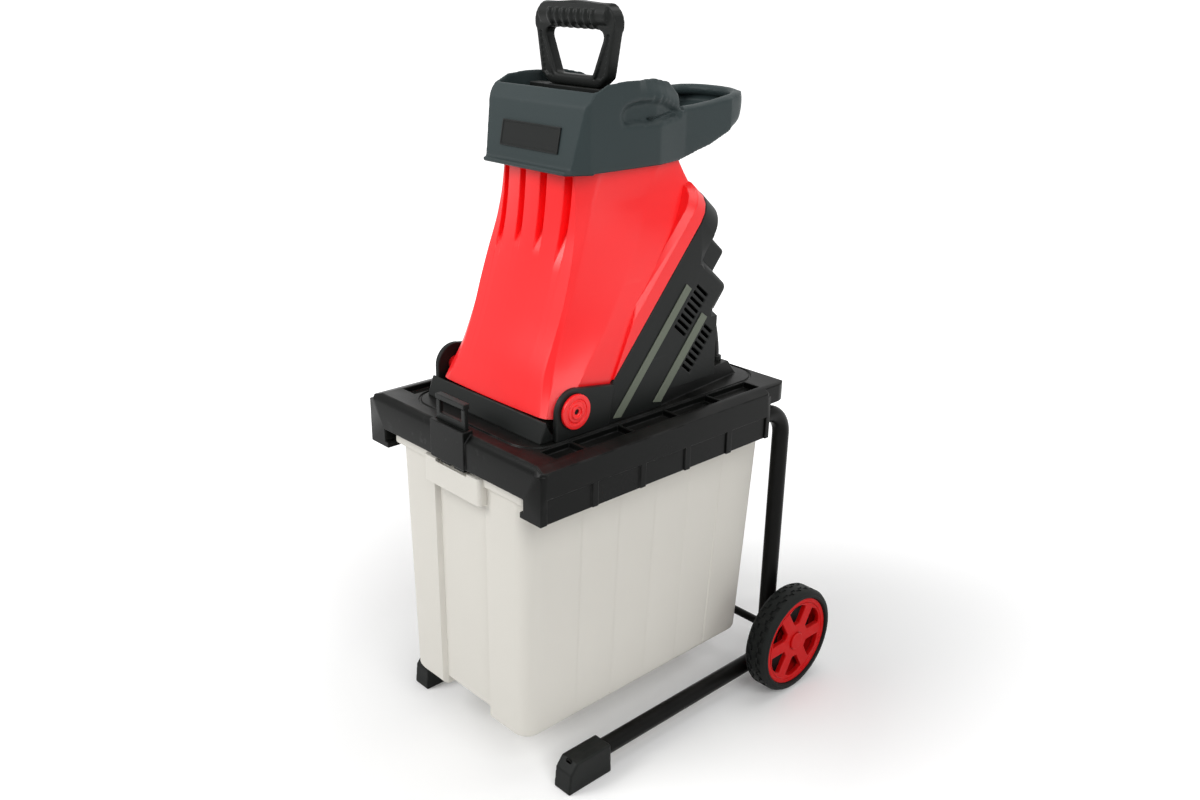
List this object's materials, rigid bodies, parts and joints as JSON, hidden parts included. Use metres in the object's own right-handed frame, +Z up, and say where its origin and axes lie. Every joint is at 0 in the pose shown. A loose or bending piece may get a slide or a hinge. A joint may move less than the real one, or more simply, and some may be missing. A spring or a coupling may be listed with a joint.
{
  "type": "garden shredder",
  "caption": "Wheeled garden shredder: a red tilting feed chute with hopper and plunger over a motor housing, on a deck with a slide-out collection box.",
  "frame": {"origin": "on the floor, midway between the front face and the back of the wheels, on the middle plane", "axes": "+Z up, +Y to the rear, +X to the right seen from the front"},
  "size_m": [0.438, 0.543, 0.969],
  "materials": {
    "black_plastic": "satin",
    "deck_plastic": "semi gloss",
    "red_plastic": "gloss",
    "rim_plastic": "semi gloss",
    "charcoal_plastic": "satin",
    "grey_plastic": "matte",
    "box_plastic": "fine texture",
    "tube_paint": "gloss powder coat",
    "steel": "machined",
    "alloy": "cast",
    "copper": "copper",
    "brass": "machined",
    "tyre": "rubber",
    "lead_rubber": "matt",
    "carbon": "graphite",
    "green_button": "gloss",
    "red_button": "gloss"
  },
  "bodies": {
    "frame": {"deck": "deck_plastic", "left_leg": "tube_paint", "right_leg": "tube_paint", "left_foot": "black_plastic", "right_foot": "black_plastic", "leg_screws": "steel", "axle": "steel", "axle_spacers": "black_plastic", "axle_caps": "rim_plastic", "lower_housing": "black_plastic", "side_trims": "grey_plastic", "housing_screws": "steel", "motor_cover": "black_plastic", "switch_box": "black_plastic", "mains_inlet": "black_plastic", "inlet_pins": "brass", "interlock_lead": "lead_rubber", "lead_glands": "black_plastic", "box_interlock_switch": "black_plastic", "chute_interlock_switch": "black_plastic", "gear_case": "alloy", "gear_cover": "alloy", "spindle_bearings": "steel", "armature_bearings": "steel", "stator_core": "steel", "field_windings": "copper", "brush_holders": "brass", "carbon_brushes": "carbon"},
    "left_wheel": {"left_tyre": "tyre", "left_rim": "rim_plastic"},
    "right_wheel": {"right_tyre": "tyre", "right_rim": "rim_plastic"},
    "box": {"collection_box": "box_plastic"},
    "latch": {"box_latch": "black_plastic"},
    "upper": {"feed_chute": "red_plastic", "lock_insert": "brass", "hinge_trunnions": "red_plastic", "hopper": "charcoal_plastic", "hopper_screws": "steel", "name_plate": "black_plastic"},
    "plunger": {"plunger_handle": "black_plastic", "plunger_paddle": "black_plastic"},
    "lock_carrier": {"lock_washer": "steel"},
    "lock_screw": {"lock_knob": "black_plastic", "lock_stud": "steel"},
    "cutter": {"spindle": "steel", "spindle_gear": "steel", "cutter_disc": "steel", "cutter_blades": "steel", "blade_screws": "steel", "disc_bolt": "steel"},
    "armature": {"armature_shaft": "steel", "motor_pinion": "steel", "armature_core": "steel", "commutator": "copper", "cooling_fan": "black_plastic"},
    "start": {"start_button": "green_button"},
    "stop": {"stop_button": "red_button"},
    "reset": {"reset_button": "black_plastic"}
  },
  "joints": [
    {"name": "left_wheel_spin", "type": "hinge", "parent": "frame", "child": "left_wheel", "pos_m": [-0.2, 0.1915, 0.08], "axis": [1, 0, 0], "continuous": true},
    {"name": "right_wheel_spin", "type": "hinge", "parent": "frame", "child": "right_wheel", "pos_m": [0.2, 0.1915, 0.08], "axis": [1, 0, 0], "continuous": true},
    {"name": "box_slide", "type": "slide", "parent": "frame", "child": "box", "axis": [0, -1, 0], "range_m": [0, 0.42]},
    {"name": "latch_slide", "type": "slide", "parent": "frame", "child": "latch", "axis": [0, 0, 1], "range_m": [-0.012, 0]},
    {"name": "chute_tilt", "type": "hinge", "parent": "frame", "child": "upper", "pos_m": [0, -0.1705, 0.509], "axis": [1, 0, 0], "range_deg": [0, 65]},
    {"name": "plunger_slide", "type": "slide", "parent": "upper", "child": "plunger", "axis": [0, 0, 1], "range_m": [0, 0.24]},
    {"name": "lock_travel", "type": "slide", "parent": "frame", "child": "lock_carrier", "axis": [0, 0.766, -0.6428], "range_m": [0, 0.012]},
    {"name": "lock_turn", "type": "hinge", "parent": "lock_carrier", "child": "lock_screw", "pos_m": [0, 0.0952, 0.70176], "axis": [0, 0.766, -0.6428], "range_deg": [0, 2160]},
    {"name": "cutter_spin", "type": "hinge", "parent": "frame", "child": "cutter", "pos_m": [0, -0.01558, 0.60086], "axis": [0, 0.766, -0.6428], "continuous": true},
    {"name": "armature_spin", "type": "hinge", "parent": "frame", "child": "armature", "pos_m": [0, 0.06981, 0.57816], "axis": [0, 0.766, -0.6428], "continuous": true},
    {"name": "start_press", "type": "slide", "parent": "frame", "child": "start", "axis": [0, -0.766, 0.6428], "range_m": [0, 0.003], "stiffness_N_per_m": 500},
    {"name": "stop_press", "type": "slide", "parent": "frame", "child": "stop", "axis": [0, -0.766, 0.6428], "range_m": [0, 0.003], "stiffness_N_per_m": 500},
    {"name": "reset_press", "type": "slide", "parent": "frame", "child": "reset", "axis": [0, -0.766, 0.6428], "range_m": [0, 0.003], "stiffness_N_per_m": 500}
  ],
  "couplings": [
    {"joint": "lock_turn", "follows": "lock_travel", "rad_per_m": 3141.6},
    {"joint": "armature_spin", "follows": "cutter_spin", "ratio": -4}
  ]
}
